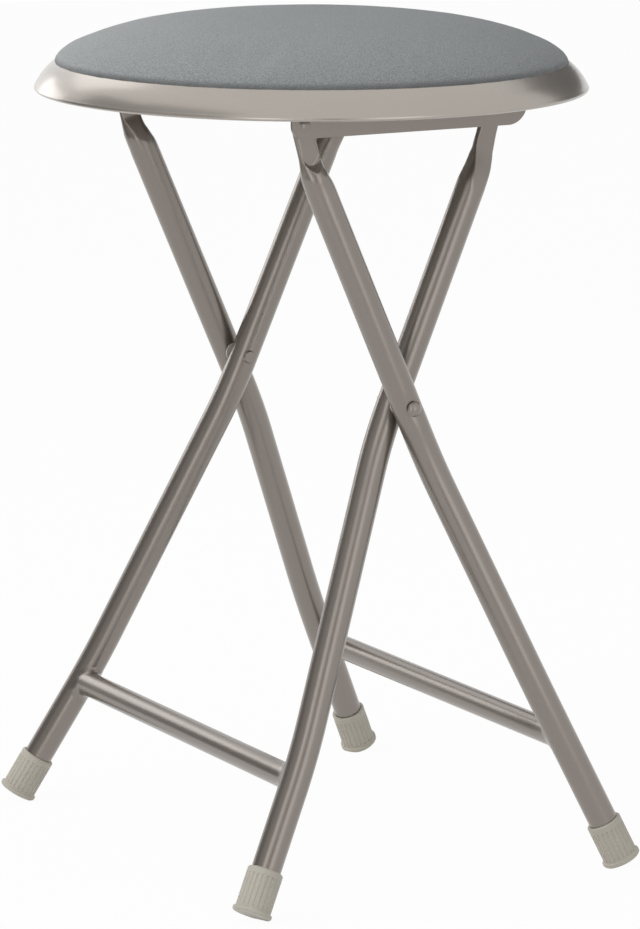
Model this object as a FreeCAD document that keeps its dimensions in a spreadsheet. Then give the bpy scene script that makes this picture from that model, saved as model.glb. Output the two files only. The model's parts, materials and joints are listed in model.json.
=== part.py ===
import FreeCAD, Part
import math
import os

import Sketcher

Vector = FreeCAD.Vector
doc = FreeCAD.newDocument("FoldingStool")


# Driving dimensions, millimetres and degrees. X runs along the folding axis,
# Y across it, Z up; the origin lies on the floor below the middle of the seat.
SIZES = {
    # seat
    "seat_dia": 416,
    "rim_height": 19.1,
    "rim_bow": 45,
    "rim_hem_radius": 2,
    "pan_wall": 1.2,
    "rim_width": 18,
    "pan_floor_drop": 3.1,
    "pan_bead_radius": 62,
    "pan_bead_width": 14,
    "pan_bead_depth": 3,
    "board_thickness": 9,
    "board_gap": 0.6,
    "cover_thickness": 1.2,
    "cover_hem": 15,
    "cushion_crown": 35,
    "cushion_shoulder": 4.2,
    "seat_screw_circle": 156,
    "seat_screw_dia": 5,
    "seat_screw_head_dia": 10,
    "seat_screw_head_height": 2.6,
    "seat_screw_length": 8,
    # brackets
    "pin_height": 570,
    "pin_half_span": 90.5,
    "bracket_rise": 12,
    "bracket_drop": 10,
    "bracket_wall": 2,
    "bracket_outer_face": 145.5,
    "bracket_inner_face": 100.5,
    "bracket_front_reach": 10.3,
    "bracket_rear_reach": 13.7,
    "outer_flange_rear_reach": 6.5,
    "inner_flange_start": 27.3,
    "bracket_front_corner": 9,
    "bracket_rear_corner": 7,
    "outer_flange_corner": 16,
    "bracket_screw_pitch": 96,
    "notch_angle": 64,
    # legs
    "pivot_height": 356,
    "pivot_offset": 3,
    "leg_half_span": 95.2,
    "leg_tube_dia": 22,
    "leg_tube_wall": 1.2,
    "outer_leg_plane": 138.5,
    "inner_leg_plane": 115,
    "inner_leg_top_plane": 110,
    "outer_bend_drop": 46,
    "outer_knee_plane": 174.7,
    "outer_knee_offset": 95.1,
    "outer_knee_height": 142.3,
    "outer_foot_plane": 198.6,
    "outer_foot_offset": 158.2,
    "inner_bend_drop": 27,
    "inner_knee_plane": 169.3,
    "inner_knee_offset": 100.5,
    "inner_knee_height": 112,
    "inner_foot_plane": 193.8,
    "inner_foot_offset": 157.7,
    "bend_reach": 26,
    "knee_reach": 7,
    # crushed leg ends
    "tongue_width": 16.5,
    "tongue_thickness": 5,
    "tongue_length": 24,
    "tongue_lean": 15.5,
    "tongue_blend": 29,
    "outer_tongue_shift": 1.7,
    "inner_tongue_shift": 2.2,
    # stretchers
    "stretcher_dia": 19,
    "stretcher_wall": 1.2,
    "outer_stretcher_height": 101.6,
    "inner_stretcher_height": 95,
    # pins, rivets and washers
    "pin_dia": 8,
    "pin_clearance": 0.08,
    "notch_clearance": 0.5,
    "mid_rivet_head_dia": 11.7,
    "mid_rivet_head_height": 3.6,
    "mid_rivet_tail_dia": 10.4,
    "mid_rivet_tail_height": 2,
    "spacer_dia": 15,
    "spacer_play": 0.3,
    "mid_rivet_play": 0.3,
    "hook_play": 0.3,
    "top_rivet_head_dia": 9.6,
    "top_rivet_head_height": 1.6,
    "washer_dia": 14,
    # foot caps
    "cap_dia": 26.6,
    "cap_length": 34,
    "cap_base": 4,
    "cap_flange_dia": 29.6,
    "cap_flange_height": 3,
    "cap_fit": 0.1,
    "cap_flute_count": 22,
    "cap_flute_radius": 1.1,
    "cap_flute_depth": 0.6,
    "cap_plain_top": 5,
    "cap_ground_cut": 1.2,
}

sheet = doc.addObject("Spreadsheet::Sheet", "Sizes")
for row, (alias, value) in enumerate(SIZES.items(), start=1):
    sheet.set(f"A{row}", alias)
    sheet.set(f"B{row}", str(value))
    sheet.setAlias(f"B{row}", alias)
doc.recompute()


def size(expression):
    """Value of an expression in which each word is an alias of the sheet."""
    return float(sheet.evalExpression(expression))


def bind(thing, path, expression):
    """Bind a property to an expression written with the sheet's aliases."""
    words = sorted(SIZES, key=len, reverse=True)
    bound = expression
    for number, word in enumerate(words):
        bound = bound.replace(word, f"<{number}>")
    for number, word in enumerate(words):
        bound = bound.replace(f"<{number}>", f"Sizes.{word}")
    thing.setExpression(path, bound)


def plane_of(body, role):
    """One of the body's own origin planes, XY_Plane, XZ_Plane or YZ_Plane."""
    return next(item for item in body.Origin.OriginFeatures if item.Role == role)


def new_body(label):
    body = doc.addObject("PartDesign::Body", label + "_body")
    body.Label = label
    return body


def new_sketch(body, name, role, offset="0"):
    """A sketch on an origin plane, moved along the plane's normal."""
    sketch = body.newObject("Sketcher::SketchObject", name)
    sketch.AttachmentSupport = (plane_of(body, role), [""])
    sketch.MapMode = "FlatFace"
    bind(sketch, "AttachmentOffset.Base.z", offset)
    return sketch


def fix_point(sketch, line, end, across, up):
    """Hold a line's end at two expressions measured from the sketch's origin."""
    for kind, expression, axis in (("DistanceX", across, -2), ("DistanceY", up, -1)):
        length = size(expression)
        if abs(length) < 1e-9:
            sketch.addConstraint(Sketcher.Constraint("PointOnObject", line, end, axis))
            continue
        index = sketch.addConstraint(Sketcher.Constraint(kind, -1, 1, line, end, length))
        bind(sketch, f"Constraints[{index}]", expression)


def arc_between(start, end, radius):
    """Arc of a signed radius from start to end, swelling to the right when positive."""
    chord = end - start
    sagitta = abs(radius) - math.sqrt(max(radius * radius - chord.Length ** 2 / 4, 0))
    left = Vector(-chord.y, chord.x, 0).normalize()
    middle = (start + end) / 2 - left * math.copysign(sagitta, radius)
    if radius < 0:
        start, end = end, start
    return Part.Arc(start, middle, end)


def draw_outline(sketch, corners, arcs=None):
    """Closed outline through corners of two expressions each.

    arcs gives, for the corner an arc starts from, the arc's radius as an
    expression; a leading minus bends it the other way. A half circle also
    gives its centre's height, which holds it in place of the radius.
    """
    arcs = arcs or {}
    points = [Vector(size(across), size(up), 0) for across, up in corners]
    count = len(points)
    for number in range(count):
        start, end = points[number], points[(number + 1) % count]
        if number in arcs:
            radius = arcs[number] if isinstance(arcs[number], str) else arcs[number][0]
            sketch.addGeometry(arc_between(start, end, size(radius)))
        else:
            sketch.addGeometry(Part.LineSegment(start, end))
    ends = []
    for number in range(count):
        edge = sketch.Geometry[number]
        first, last = edge.StartPoint, edge.EndPoint
        forward = (first - points[number]).Length < (last - points[number]).Length
        ends.append((1, 2) if forward else (2, 1))
    for number in range(count):
        after = (number + 1) % count
        join = ("Coincident", number, ends[number][1], after, ends[after][0])
        sketch.addConstraint(Sketcher.Constraint(*join))
        fix_point(sketch, number, ends[number][0], *corners[number])
        if number not in arcs:
            continue
        if isinstance(arcs[number], str):
            hold, expression = ("Radius", number), arcs[number].lstrip("-")
        else:
            hold, expression = ("DistanceY", -1, 1, number, 3), arcs[number][1]
        index = sketch.addConstraint(Sketcher.Constraint(*hold, size(expression)))
        bind(sketch, f"Constraints[{index}]", expression)


def draw_circle(sketch, across, up, radius):
    centre = Vector(size(across), size(up), 0)
    circle = sketch.addGeometry(Part.Circle(centre, Vector(0, 0, 1), size(radius)))
    fix_point(sketch, circle, 3, across, up)
    index = sketch.addConstraint(Sketcher.Constraint("Radius", circle, size(radius)))
    bind(sketch, f"Constraints[{index}]", radius)


def turn(body, sketch, name="Turning"):
    """Full turn of a profile about the sketch's own upright axis."""
    turning = body.newObject("PartDesign::Revolution", name)
    turning.Profile = sketch
    turning.ReferenceAxis = (sketch, ["V_Axis"])
    turning.Angle = 360
    return turning


def turned_part(label, corners, arcs=None):
    """Turned piece about its own Z axis; corners are radius and height."""
    body = new_body(label)
    sketch = new_sketch(body, label + "_profile", "XZ_Plane")
    draw_outline(sketch, corners, arcs)
    turn(body, sketch)
    return body


def cut_through(body, sketch, name, length, reverse=False):
    """Pocket that is checked to have taken material away."""
    doc.recompute()
    before = body.Shape.Volume
    pocket = body.newObject("PartDesign::Pocket", name)
    pocket.Profile = sketch
    bind(pocket, "Length", length)
    pocket.Reversed = reverse
    doc.recompute()
    if body.Shape.Volume > before - 1e-3:
        raise RuntimeError(f"{name} of {body.Label} cuts nothing")
    return pocket


def along_x(x, y, z, side):
    """Placement that lays a turned piece along X, its +Z end pointing outwards."""
    return FreeCAD.Placement(
        Vector(side * x, y, z), FreeCAD.Rotation(Vector(0, 1, 0), 90 * side)
    )


SIDES = {"right": 1, "left": -1}


# Seat pan: a pressed disc whose wall rolls over into the visible rim
FLOOR = "pin_height + bracket_rise"
HEM_UP = f"{FLOOR} - pan_floor_drop"
PAN_EDGE = "(seat_dia / 2 - rim_width)"
CREST = f"({PAN_EDGE} + 2 * pan_wall)"
CREST_UP = f"{HEM_UP} + rim_height"
INNER_CREST = f"({PAN_EDGE} + pan_wall)"
INNER_CREST_UP = f"{CREST_UP} - 1.5 * pan_wall"
HEM_INNER = "rim_hem_radius - pan_wall"
BEAD_IN = "pan_bead_radius - pan_bead_width / 2"
BEAD_OUT = "pan_bead_radius + pan_bead_width / 2"


def make_seat_pan():
    body = new_body("seat_pan")
    sketch = new_sketch(body, "pan_profile", "XZ_Plane")
    rise = f"{FLOOR} + pan_wall"
    corners = [
        ("0", FLOOR),
        (BEAD_IN, FLOOR),
        (f"{BEAD_IN} + pan_bead_depth", f"{FLOOR} - pan_bead_depth"),
        (f"{BEAD_OUT} - pan_bead_depth", f"{FLOOR} - pan_bead_depth"),
        (BEAD_OUT, FLOOR),
        (INNER_CREST, FLOOR),
        (INNER_CREST, INNER_CREST_UP),
        ("seat_dia / 2 - pan_wall", HEM_UP),
        (f"seat_dia / 2 - rim_hem_radius - ({HEM_INNER})", HEM_UP),
        ("seat_dia / 2 - 2 * rim_hem_radius", HEM_UP),
        ("seat_dia / 2", HEM_UP),
        (CREST, CREST_UP),
        (PAN_EDGE, f"{CREST_UP} - 2 * pan_wall"),
        (PAN_EDGE, rise),
        (BEAD_OUT, rise),
        (f"{BEAD_OUT} - pan_bead_depth", f"{rise} - pan_bead_depth"),
        (f"{BEAD_IN} + pan_bead_depth", f"{rise} - pan_bead_depth"),
        (BEAD_IN, rise),
        ("0", rise),
    ]
    arcs = {
        6: "-(rim_bow - pan_wall)",
        7: (f"-({HEM_INNER})", HEM_UP),
        9: ("rim_hem_radius", HEM_UP),
        10: "rim_bow",
        11: "2.6 * pan_wall",
    }
    draw_outline(sketch, corners, arcs)
    turn(body, sketch)
    doc.recompute()
    return body


def crown_height(radius, outer_radius, crown):
    """Height of the padded crown over its edge: flat on top, full at the shoulder."""
    return crown * (1 - (radius / outer_radius) ** 3) ** 0.62


def crown_curve(edge, base, crown, inset):
    """Curve from the edge up to the axis, inset along its own normal."""
    steps = 12
    points = []
    for step in range(steps + 1):
        share = math.cos(math.radians(90 * step / steps)) if step < steps else 0
        radius = edge * share
        slope_step = 0.5
        inner = max(radius - slope_step, 0)
        rise = crown_height(inner, edge, crown) - crown_height(min(radius, edge), edge, crown)
        run = max(radius - inner, 1e-6)
        normal = Vector(rise, 0, run).normalize()
        if share == 1:
            normal = Vector(1, 0, 0)
        if share == 0:
            normal = Vector(0, 0, 1)
        points.append(Vector(radius, 0, base + crown_height(radius, edge, crown)) - normal * inset)
    curve = Part.BSplineCurve()
    curve.interpolate(points)
    return curve


def revolved_feature(label, outline):
    """Solid of revolution about Z from a closed outline of edges."""
    face = Part.Face(Part.Wire(Part.sortEdges(outline)[0]))
    feature = doc.addObject("Part::Feature", label)
    feature.Shape = face.revolve(Vector(), Vector(0, 0, 1), 360)
    feature.Label = label
    return feature


def polyline(points):
    return [Part.LineSegment(a, b).toShape() for a, b in zip(points, points[1:])]


def make_cushion():
    """Board, foam and cover: the cover wraps the board's edge and its underside."""
    wall = size("cover_thickness")
    edge = size(f"{PAN_EDGE} - board_gap")
    cover_base = size(f"{FLOOR} + pan_wall")
    shoulder = cover_base + size("cover_thickness + board_thickness") + size("cushion_shoulder")
    crown = size("cushion_crown")
    hem = edge - size("cover_hem")
    board_base = cover_base + wall
    board_top = board_base + size("board_thickness")

    outer = crown_curve(edge, shoulder, crown, 0)
    inner = crown_curve(edge, shoulder, crown, wall)
    top_out, top_in = outer.EndPoint, inner.EndPoint
    lower = polyline(
        [
            inner.StartPoint,
            Vector(edge - wall, 0, board_base),
            Vector(hem, 0, board_base),
            Vector(hem, 0, cover_base),
            Vector(edge, 0, cover_base),
            outer.StartPoint,
        ]
    )
    crest = polyline([top_out, top_in])
    revolved_feature("seat_cover", lower + crest + [outer.toShape(), inner.toShape()])

    foam_side = polyline(
        [
            top_in,
            Vector(0, 0, board_top),
            Vector(edge - wall, 0, board_top),
            inner.StartPoint,
        ]
    )
    revolved_feature("seat_foam", foam_side + [inner.toShape()])

    board = doc.addObject("Part::Cylinder", "board_disc")
    bind(board, "Radius", f"{PAN_EDGE} - board_gap - cover_thickness")
    bind(board, "Height", "board_thickness")
    bind(board, "Placement.Base.z", f"{FLOOR} + pan_wall + cover_thickness")
    return board


def screw(name, x, y, seat_height, length):
    """Pan-head screw pointing up, its head below the seat it clamps."""
    shank = doc.addObject("Part::Cylinder", name + "_shank")
    bind(shank, "Radius", "seat_screw_dia / 2")
    bind(shank, "Height", length)
    head = doc.addObject("Part::Cone", name + "_head")
    bind(head, "Radius1", "seat_screw_head_dia / 2 - 1")
    bind(head, "Radius2", "seat_screw_head_dia / 2")
    bind(head, "Height", "seat_screw_head_height")
    for item, drop in ((shank, "0"), (head, "seat_screw_head_height")):
        bind(item, "Placement.Base.x", x)
        bind(item, "Placement.Base.y", y)
        bind(item, "Placement.Base.z", f"{seat_height} - {drop}")
    whole = doc.addObject("Part::Fuse", name)
    whole.Base = head
    whole.Tool = shank
    return whole


def drilled(label, base, tools):
    """Boolean cut of several tools from a base, named as the finished piece."""
    holes = doc.addObject("Part::Compound", label + "_holes")
    holes.Links = tools
    cut = doc.addObject("Part::Cut", label)
    cut.Base = base
    cut.Tool = holes
    cut.Label = label
    return cut


def grouped(label, pieces):
    group = doc.addObject("Part::Compound", label)
    group.Links = pieces
    group.Label = label
    return group


def screw_hole(name, x, y, base, length):
    hole = doc.addObject("Part::Cylinder", name)
    bind(hole, "Radius", "seat_screw_dia / 2")
    bind(hole, "Height", length)
    bind(hole, "Placement.Base.x", x)
    bind(hole, "Placement.Base.y", y)
    bind(hole, "Placement.Base.z", base)
    return hole


def make_seat():
    """Pan and board with the screws that hold them together, and the brackets' screws."""
    pan = make_seat_pan()
    pan.Label = "seat_pan_blank"
    board = make_cushion()
    web = f"{FLOOR} - bracket_wall"
    grip = "bracket_wall + seat_screw_length"
    middle = "(bracket_outer_face + bracket_inner_face) / 2"
    places = []
    for number in range(4):
        angle = math.radians(90 * number)
        x = f"seat_screw_circle * {round(math.cos(angle))}"
        y = f"seat_screw_circle * {round(math.sin(angle))}"
        places.append((f"seat_screw_{number}", x, y, FLOOR, "seat_screw_length"))
    for name, side in SIDES.items():
        for end in (-1, 1):
            x = f"{side} * ({middle})"
            y = f"pivot_offset + {end} * bracket_screw_pitch / 2"
            places.append((f"{name}_bracket_screw_{end + 1}", x, y, web, grip))
    screws = [screw(*place) for place in places]
    holes = [
        screw_hole(name + "_hole", x, y, base, length) for name, x, y, base, length in places
    ]
    pan_holes = [
        screw_hole(name + "_clear", x, y, base, length) for name, x, y, base, length in places
    ]
    drilled("seat_pan", pan, pan_holes)
    drilled("seat_board", board, holes)
    grouped("seat_screws", screws[:4])
    grouped("bracket_screws_right", screws[4:6])
    grouped("bracket_screws_left", screws[6:])


# Brackets: inverted channels; the rear pin drops out of an open notch
FRONT_PIN = "pivot_offset - pin_half_span"
REAR_PIN = "pivot_offset + pin_half_span"


def make_bracket(name, side):
    label = f"bracket_{name}"
    body = new_body(label)
    front = f"{FRONT_PIN} - bracket_front_reach"
    rear = f"{REAR_PIN} + bracket_rear_reach"
    bottom = "pin_height - bracket_drop"
    near = "bracket_inner_face" if side > 0 else "-bracket_outer_face"
    outline = new_sketch(body, label + "_outline", "YZ_Plane", near)
    draw_outline(
        outline,
        [
            (front, FLOOR),
            (front, f"{bottom} + bracket_front_corner"),
            (f"{front} + bracket_front_corner", bottom),
            (f"{rear} - bracket_rear_corner", bottom),
            (rear, f"{bottom} + bracket_rear_corner"),
            (rear, FLOOR),
        ],
        {1: "bracket_front_corner", 3: "bracket_rear_corner"},
    )
    block = body.newObject("PartDesign::Pad", label + "_block")
    block.Profile = outline
    bind(block, "Length", "bracket_outer_face - bracket_inner_face")
    doc.recompute()

    channel = new_sketch(body, label + "_channel", "YZ_Plane", f"{near} + bracket_wall")
    reach = "(bracket_front_reach + 2 * pin_half_span + bracket_rear_reach)"
    draw_outline(
        channel,
        [
            (f"{front} - {reach}", f"{FLOOR} - bracket_wall"),
            (f"{front} - {reach}", f"{bottom} - {reach}"),
            (f"{rear} + {reach}", f"{bottom} - {reach}"),
            (f"{rear} + {reach}", f"{FLOOR} - bracket_wall"),
        ],
    )
    width = "bracket_outer_face - bracket_inner_face - 2 * bracket_wall"
    cut_through(body, channel, label + "_hollow", width, reverse=True)

    outer_wall = "bracket_outer_face - bracket_wall" if side > 0 else "-bracket_outer_face"
    bore = new_sketch(body, label + "_bore", "YZ_Plane", outer_wall)
    draw_circle(bore, FRONT_PIN, "pin_height", "pin_dia / 2 + pin_clearance")
    cut_through(body, bore, label + "_hinge_hole", "bracket_wall", reverse=True)

    inner_wall = "bracket_inner_face" if side > 0 else "-(bracket_inner_face + bracket_wall)"
    trims = (
        ("outer_trim", outer_wall, f"{REAR_PIN} + outer_flange_rear_reach", "outer_flange_corner", 1),
        ("inner_trim", inner_wall, f"{FRONT_PIN} + inner_flange_start", "bracket_front_corner", -1),
    )
    for trim, wall, end, corner, way in trims:
        shape = new_sketch(body, f"{label}_{trim}", "YZ_Plane", wall)
        beyond = f"{end} + {way} * {reach}"
        draw_outline(
            shape,
            [
                (end, f"{FLOOR} - bracket_wall"),
                (end, f"{bottom} + {corner}"),
                (f"{end} - {way} * {corner}", bottom),
                (f"{end} - {way} * {corner}", f"{bottom} - bracket_wall"),
                (beyond, f"{bottom} - bracket_wall"),
                (beyond, f"{FLOOR} - bracket_wall"),
            ],
            {1: corner if way < 0 else f"-{corner}"},
        )
        cut_through(body, shape, f"{label}_{trim}_cut", "bracket_wall", reverse=True)
    notch = new_sketch(body, label + "_notch_outline", "YZ_Plane", inner_wall)
    half = "(pin_dia / 2 + notch_clearance)"
    lean, drop = "cos(notch_angle * 1deg)", "sin(notch_angle * 1deg)"
    run = "(3 * bracket_drop)"
    draw_outline(
        notch,
        [
            (f"{REAR_PIN} - {half} * {drop}", f"pin_height + {half} * {lean}"),
            (
                f"{REAR_PIN} - {half} * {drop} - {run} * {lean}",
                f"pin_height + {half} * {lean} - {run} * {drop}",
            ),
            (
                f"{REAR_PIN} + {half} * {drop} - {run} * {lean}",
                f"pin_height - {half} * {lean} - {run} * {drop}",
            ),
            (f"{REAR_PIN} + {half} * {drop}", f"pin_height - {half} * {lean}"),
        ],
        {3: ("pin_dia / 2 + notch_clearance", "pin_height")},
    )
    cut_through(body, notch, label + "_notch", "bracket_wall", reverse=True)

    middle = "(bracket_outer_face + bracket_inner_face) / 2"
    screws = new_sketch(body, label + "_screw_holes", "XY_Plane", f"{FLOOR} - bracket_wall")
    for end in (-1, 1):
        draw_circle(
            screws,
            f"{side} * {middle}",
            f"pivot_offset + {end} * bracket_screw_pitch / 2",
            "seat_screw_dia / 2",
        )
    cut_through(body, screws, label + "_drilling", "bracket_wall", reverse=True)


# Legs: bent tubes whose upper ends are crushed to a tongue
class LegLine:
    """Centre line of one leg: the pin, the straights and the end of its tube.

    The upper straight aims past the pin, because the crushed end stands steeper.
    """

    def __init__(self, kind, side):
        sign = -1 if kind == "outer" else 1
        pivot_y = size("pivot_offset")
        aim_y = pivot_y + sign * size("leg_half_span")
        aim = Vector(size("outer_leg_plane"), aim_y, size("pin_height"))
        pivot = Vector(size(f"{kind}_leg_plane"), pivot_y, size("pivot_height"))
        if kind == "inner":
            aim.x = size("inner_leg_top_plane")
        pin = Vector(aim.x, pivot_y + sign * size("pin_half_span"), aim.z)
        lean = math.radians(size("tongue_lean"))
        self.tongue_down = Vector(0, -sign * math.sin(lean), -math.cos(lean))
        slope = (pivot - aim) / (pivot.z - aim.z)
        bend = pivot - slope * size(f"{kind}_bend_drop")
        knee = Vector(
            size(f"{kind}_knee_plane"),
            -sign * size(f"{kind}_knee_offset"),
            size(f"{kind}_knee_height"),
        )
        foot = Vector(size(f"{kind}_foot_plane"), -sign * size(f"{kind}_foot_offset"), 0)
        self.foot_axis = (foot - knee).normalize()
        tilt = math.acos(-self.foot_axis.z)
        foot.z = size("cap_flange_dia / 2") * math.sin(tilt) - size("cap_ground_cut")
        self.foot_axis = (foot - knee).normalize()
        self.foot = foot
        self.pin = pin
        self.aim = aim
        self.pivot = pivot
        self.knee = knee
        self.bend = bend
        self.end = foot - self.foot_axis * size("cap_base")
        self.down = (bend - aim).normalize()
        for point in (self.foot_axis, foot, pin, aim, pivot, knee, bend, self.end, self.down):
            point.x *= side

    def at_height(self, height):
        """Point of the lowest straight at a height."""
        return self.knee + (self.foot - self.knee) * (
            (height - self.knee.z) / (self.foot.z - self.knee.z)
        )

    def path(self, start):
        """Wire of straights joined by tangent arcs, from a distance along the top one."""
        corners = [self.aim + self.down * start, self.bend, self.knee, self.end]
        reaches = (size("bend_reach"), size("knee_reach"))
        edges = []
        here = corners[0]
        for number, tangent in enumerate(reaches, start=1):
            before = (corners[number - 1] - corners[number]).normalize()
            after = (corners[number + 1] - corners[number]).normalize()
            half_turn = (math.pi - before.getAngle(after)) / 2
            radius = tangent / math.tan(half_turn)
            first = corners[number] + before * tangent
            last = corners[number] + after * tangent
            inward = (before + after).normalize()
            middle = corners[number] + inward * (radius / math.cos(half_turn) - radius)
            edges.append(Part.LineSegment(here, first).toShape())
            edges.append(Part.Arc(first, middle, last).toShape())
            here = last
        edges.append(Part.LineSegment(here, corners[-1]).toShape())
        return Part.Wire(edges)


def frame_section(centre, down, width, thickness):
    """Flattened section of four edges across a leg, its flats facing along X."""
    outward = Vector(1, 0, 0)
    across = down.cross(outward).normalize()
    facing = across.cross(down).normalize()
    corner = thickness / 2
    flat = max(width / 2 - corner, 0)
    turn_out = corner if flat else corner / math.sqrt(2)
    side = flat if flat else corner / math.sqrt(2)

    def spot(a, b):
        return centre + across * a + facing * b

    edges = []
    for sign in (1, -1):
        start, end = spot(sign * side, sign * turn_out), spot(-sign * side, sign * turn_out)
        if flat:
            edges.append(Part.LineSegment(start, end).toShape())
        else:
            edges.append(Part.Arc(start, spot(0, sign * corner), end).toShape())
        far = spot(-sign * side, -sign * turn_out)
        edges.append(Part.Arc(end, spot(-sign * (flat + corner), 0), far).toShape())
    return Part.Wire(edges)


def swept_tube(line, start, radius):
    """Solid round bar along the leg's centre line."""
    path = line.path(start)
    ring = Part.Wire(Part.Circle(line.aim + line.down * start, line.down, radius).toShape())
    return path.makePipeShell([ring], True, False)


def bar_along_x(centre, radius, half_length):
    return Part.makeCylinder(
        radius, 2 * half_length, centre - Vector(half_length, 0, 0), Vector(1, 0, 0)
    )


def crushed_end(line, shift):
    """Tongue round the pin and the blend that opens it into the round tube."""
    width = size("tongue_width")
    thickness = size("tongue_thickness")
    length = size("tongue_length")
    blend = size("tongue_blend")
    tube = size("leg_tube_dia")
    centre = line.pin + shift
    rounded = bar_along_x(centre, width / 2, thickness / 2)
    upper, lower = (
        frame_section(centre + line.tongue_down * along, line.tongue_down, width, thickness)
        for along in (0, length)
    )
    slab = Part.makeLoft([upper, lower], True, True)

    def station(share):
        """Section part of the way from the tongue, share 0, to the round tube, share 1."""
        swell = share * share * (3 - 2 * share)
        along = length + blend * share
        flat_spot = line.pin + shift + line.tongue_down * along
        round_spot = line.aim + line.down * along
        down = (line.tongue_down * (1 - swell) + line.down * swell).normalize()
        wide = width + (tube - width) * swell
        thick = thickness + (tube - thickness) * swell
        return frame_section(flat_spot * (1 - swell) + round_spot * swell, down, wide, thick)

    steps = 8
    opening = Part.makeLoft([station(step / steps) for step in range(steps + 1)], True, True)
    return rounded, slab, opening


def make_leg(kind, name, side):
    """One leg as its outer form and as the finished hollow, drilled tube."""
    line = LegLine(kind, side)
    shift = Vector(size(f"{kind}_tongue_shift") * side, 0, 0)
    if kind == "inner":
        shift = -shift
    start = size("tongue_length + tongue_blend")
    radius = size("leg_tube_dia / 2")
    round_part = swept_tube(line, start, radius)
    bore = swept_tube(line, start + radius / 2, radius - size("leg_tube_wall"))
    bore_end = Part.makeCylinder(
        radius - size("leg_tube_wall"), 2, line.end - line.foot_axis, line.foot_axis
    )
    solid = round_part.fuse(list(crushed_end(line, shift)))
    hole = size("pin_dia / 2 + pin_clearance")
    holes = [bore, bore_end]
    holes.append(bar_along_x(line.pin + shift, hole, radius * 2))
    holes.append(bar_along_x(line.pivot, hole, radius * 2))
    label = f"{kind}_leg_{name}"
    form = doc.addObject("Part::Feature", label + "_form")
    form.Shape = round_part
    leg = doc.addObject("Part::Feature", label)
    leg.Shape = solid.cut(holes)
    leg.Label = label
    return line, form


def make_stretcher(kind, lines, forms):
    """Cross tube between the two legs of one frame, saddled to their outer forms."""
    height = size(f"{kind}_stretcher_height")
    spot = lines["right"].at_height(height)
    pieces = []
    radii = {"bar": "stretcher_dia / 2", "core": "stretcher_dia / 2 - stretcher_wall"}
    for name, radius in radii.items():
        bar = doc.addObject("Part::Cylinder", f"{kind}_stretcher_{name}")
        bind(bar, "Radius", radius)
        bar.Height = 2 * spot.x
        bar.Placement = FreeCAD.Placement(
            Vector(-spot.x, spot.y, height), FreeCAD.Rotation(Vector(0, 1, 0), 90)
        )
        pieces.append(bar)
    tube = doc.addObject("Part::Cut", f"{kind}_stretcher_tube")
    tube.Base, tube.Tool = pieces
    drilled(f"{kind}_stretcher", tube, forms)


def make_foot(kind, name, side, line):
    """Fluted cap pushed over the end of the tube, worn flat where it stands."""
    label = f"{kind}_foot_{name}"
    body = turned_part(
        label + "_cap",
        [
            ("0", "0"),
            ("cap_flange_dia / 2 - 1", "0"),
            ("cap_flange_dia / 2", "1"),
            ("cap_flange_dia / 2", "cap_flange_height"),
            ("cap_dia / 2", "cap_flange_height + 1"),
            ("cap_dia / 2", "cap_length - 1"),
            ("cap_dia / 2 - 1", "cap_length"),
            ("leg_tube_dia / 2 + cap_fit", "cap_length"),
            ("leg_tube_dia / 2 + cap_fit", "cap_base"),
            ("0", "cap_base"),
        ],
    )
    flute = new_sketch(body, label + "_flute_outline", "XY_Plane", "cap_flange_height + 2")
    draw_circle(
        flute, "cap_dia / 2 + cap_flute_radius - cap_flute_depth", "0", "cap_flute_radius"
    )
    run = "cap_length - cap_flange_height - 2 - cap_plain_top"
    groove = cut_through(body, flute, label + "_flute", run, reverse=True)
    ring = body.newObject("PartDesign::PolarPattern", label + "_flutes")
    ring.Originals = [groove]
    ring.Axis = (flute, ["N_Axis"])
    ring.Angle = 360
    bind(ring, "Occurrences", "cap_flute_count")
    body.Tip = ring
    doc.recompute()
    upright = FreeCAD.Rotation(Vector(0, 0, 1), line.foot_axis * -1)
    body.Placement = FreeCAD.Placement(line.foot, upright)
    ground = doc.addObject("Part::Box", label + "_ground")
    for edge, length in (("Length", 4), ("Width", 4), ("Height", 1)):
        bind(ground, edge, f"{length} * cap_flange_dia")
    spread = size("2 * cap_flange_dia")
    ground.Placement = FreeCAD.Placement(
        Vector(line.foot.x - spread, line.foot.y - spread, -size("cap_flange_dia")),
        FreeCAD.Rotation(),
    )
    drilled(label, body, [ground])


def dome_radius(diameter, height):
    """Radius, as an expression, of a domed head of a diameter and a height."""
    return f"({diameter} ^ 2 / 4 + {height} ^ 2) / (2 * {height})"


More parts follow.
